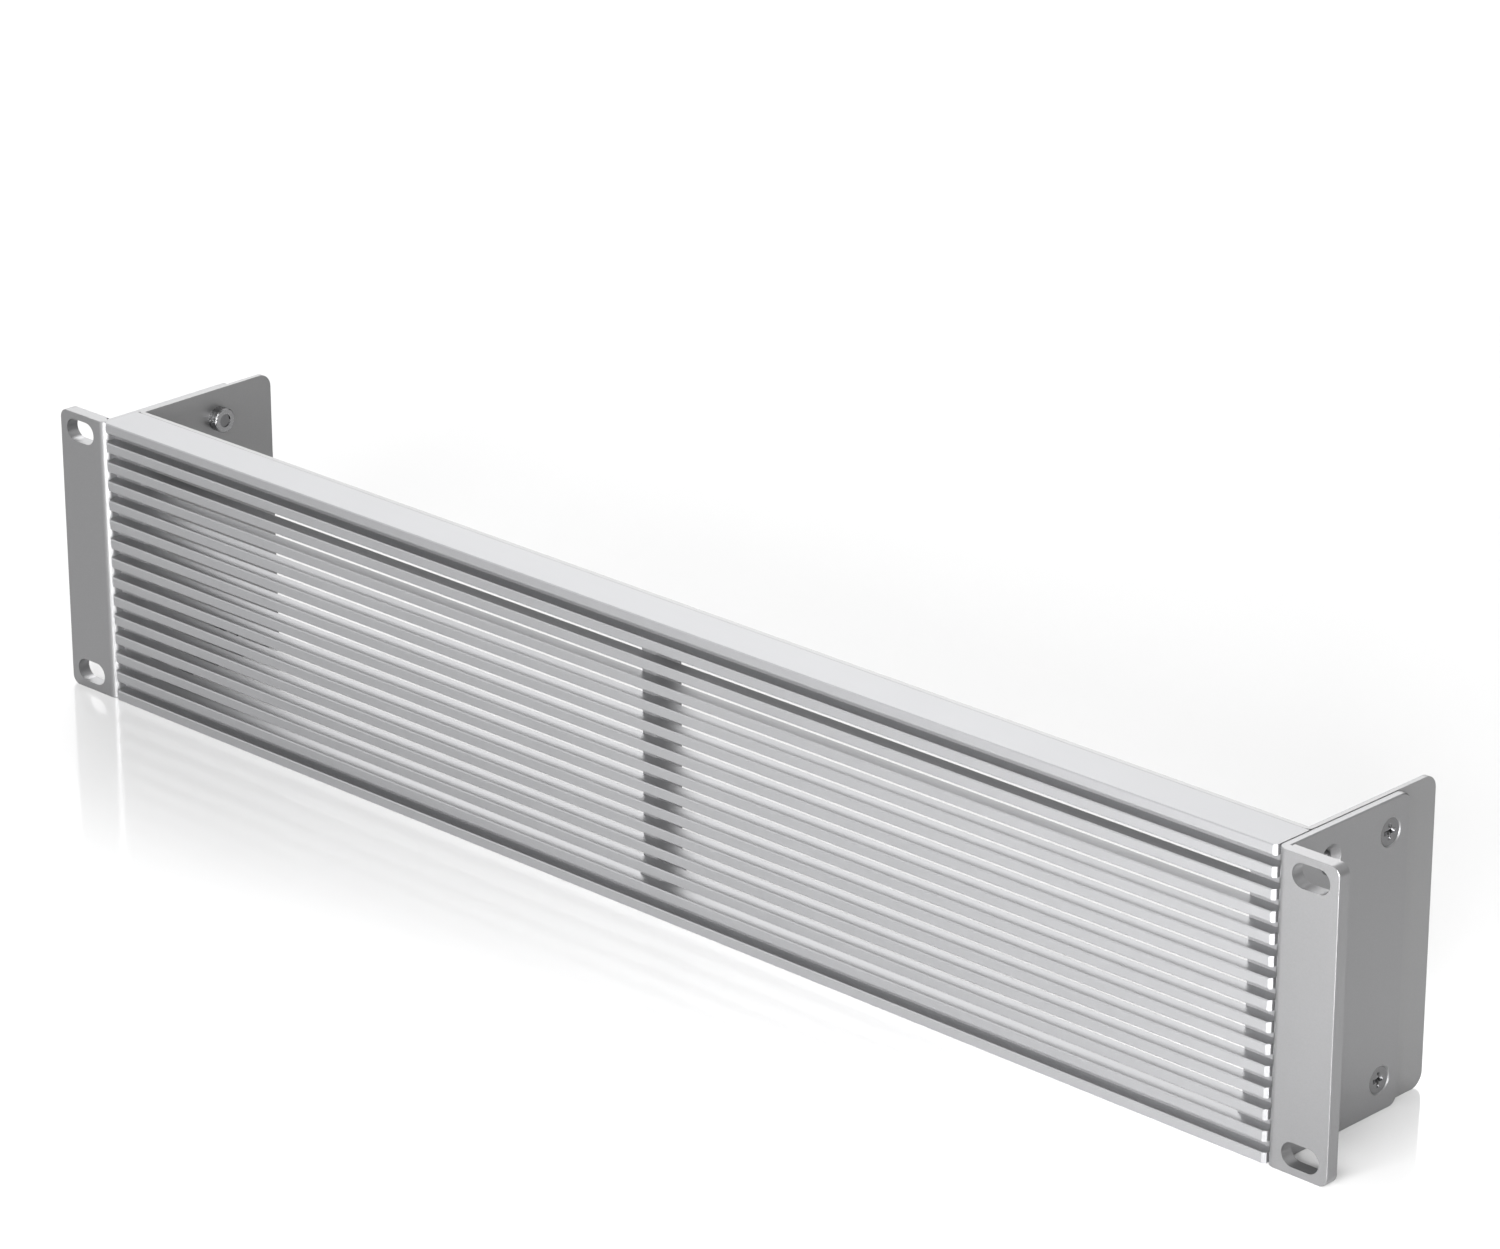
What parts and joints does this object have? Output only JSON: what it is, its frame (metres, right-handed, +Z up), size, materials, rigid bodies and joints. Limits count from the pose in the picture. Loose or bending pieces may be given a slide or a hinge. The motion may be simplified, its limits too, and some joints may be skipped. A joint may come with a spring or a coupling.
{
  "type": "vented blanking panel",
  "caption": "Vented two-unit blanking panel for an equipment rack: horizontal louvre bars in a frame, held by a folded carrier and slotted rack ears.",
  "frame": {"origin": "centre of the pattern of four rack slots, on the rear faces of the two ears", "axes": "+X runs along the panel to the right as seen from the front, -Y is the front, out of the rack, and +Z is up"},
  "size_m": [0.4826, 0.0637, 0.0874],
  "materials": {
    "grille_aluminium": "fine blasted, clear anodised, satin",
    "bar_aluminium": "fine blasted, clear anodised, satin",
    "sheet_aluminium": "fine blasted, clear anodised, satin",
    "ear_aluminium": "fine blasted, clear anodised, satin",
    "screw_steel": "plated, satin",
    "standoff_steel": "bright plated"
  },
  "bodies": {
    "root": {"carrier": "sheet_aluminium", "grille_frame": "grille_aluminium", "left_ear_screw_lower": "screw_steel", "left_ear_screw_upper": "screw_steel", "left_rack_ear": "ear_aluminium", "left_rib_screw_lower": "screw_steel", "left_rib_screw_upper": "screw_steel", "left_standoff_front_lower": "standoff_steel", "left_standoff_front_upper": "standoff_steel", "left_standoff_rear_lower": "standoff_steel", "left_standoff_rear_upper": "standoff_steel", "louvre_bar_01": "bar_aluminium", "louvre_bar_02": "bar_aluminium", "louvre_bar_03": "bar_aluminium", "louvre_bar_04": "bar_aluminium", "louvre_bar_05": "bar_aluminium", "louvre_bar_06": "bar_aluminium", "louvre_bar_07": "bar_aluminium", "louvre_bar_08": "bar_aluminium", "louvre_bar_09": "bar_aluminium", "louvre_bar_10": "bar_aluminium", "louvre_bar_11": "bar_aluminium", "louvre_bar_12": "bar_aluminium", "louvre_bar_13": "bar_aluminium", "right_ear_screw_lower": "screw_steel", "right_ear_screw_upper": "screw_steel", "right_rack_ear": "ear_aluminium", "right_rib_screw_lower": "screw_steel", "right_rib_screw_upper": "screw_steel", "right_standoff_front_lower": "standoff_steel", "right_standoff_front_upper": "standoff_steel", "right_standoff_rear_lower": "standoff_steel", "right_standoff_rear_upper": "standoff_steel"}
  },
  "joints": []
}
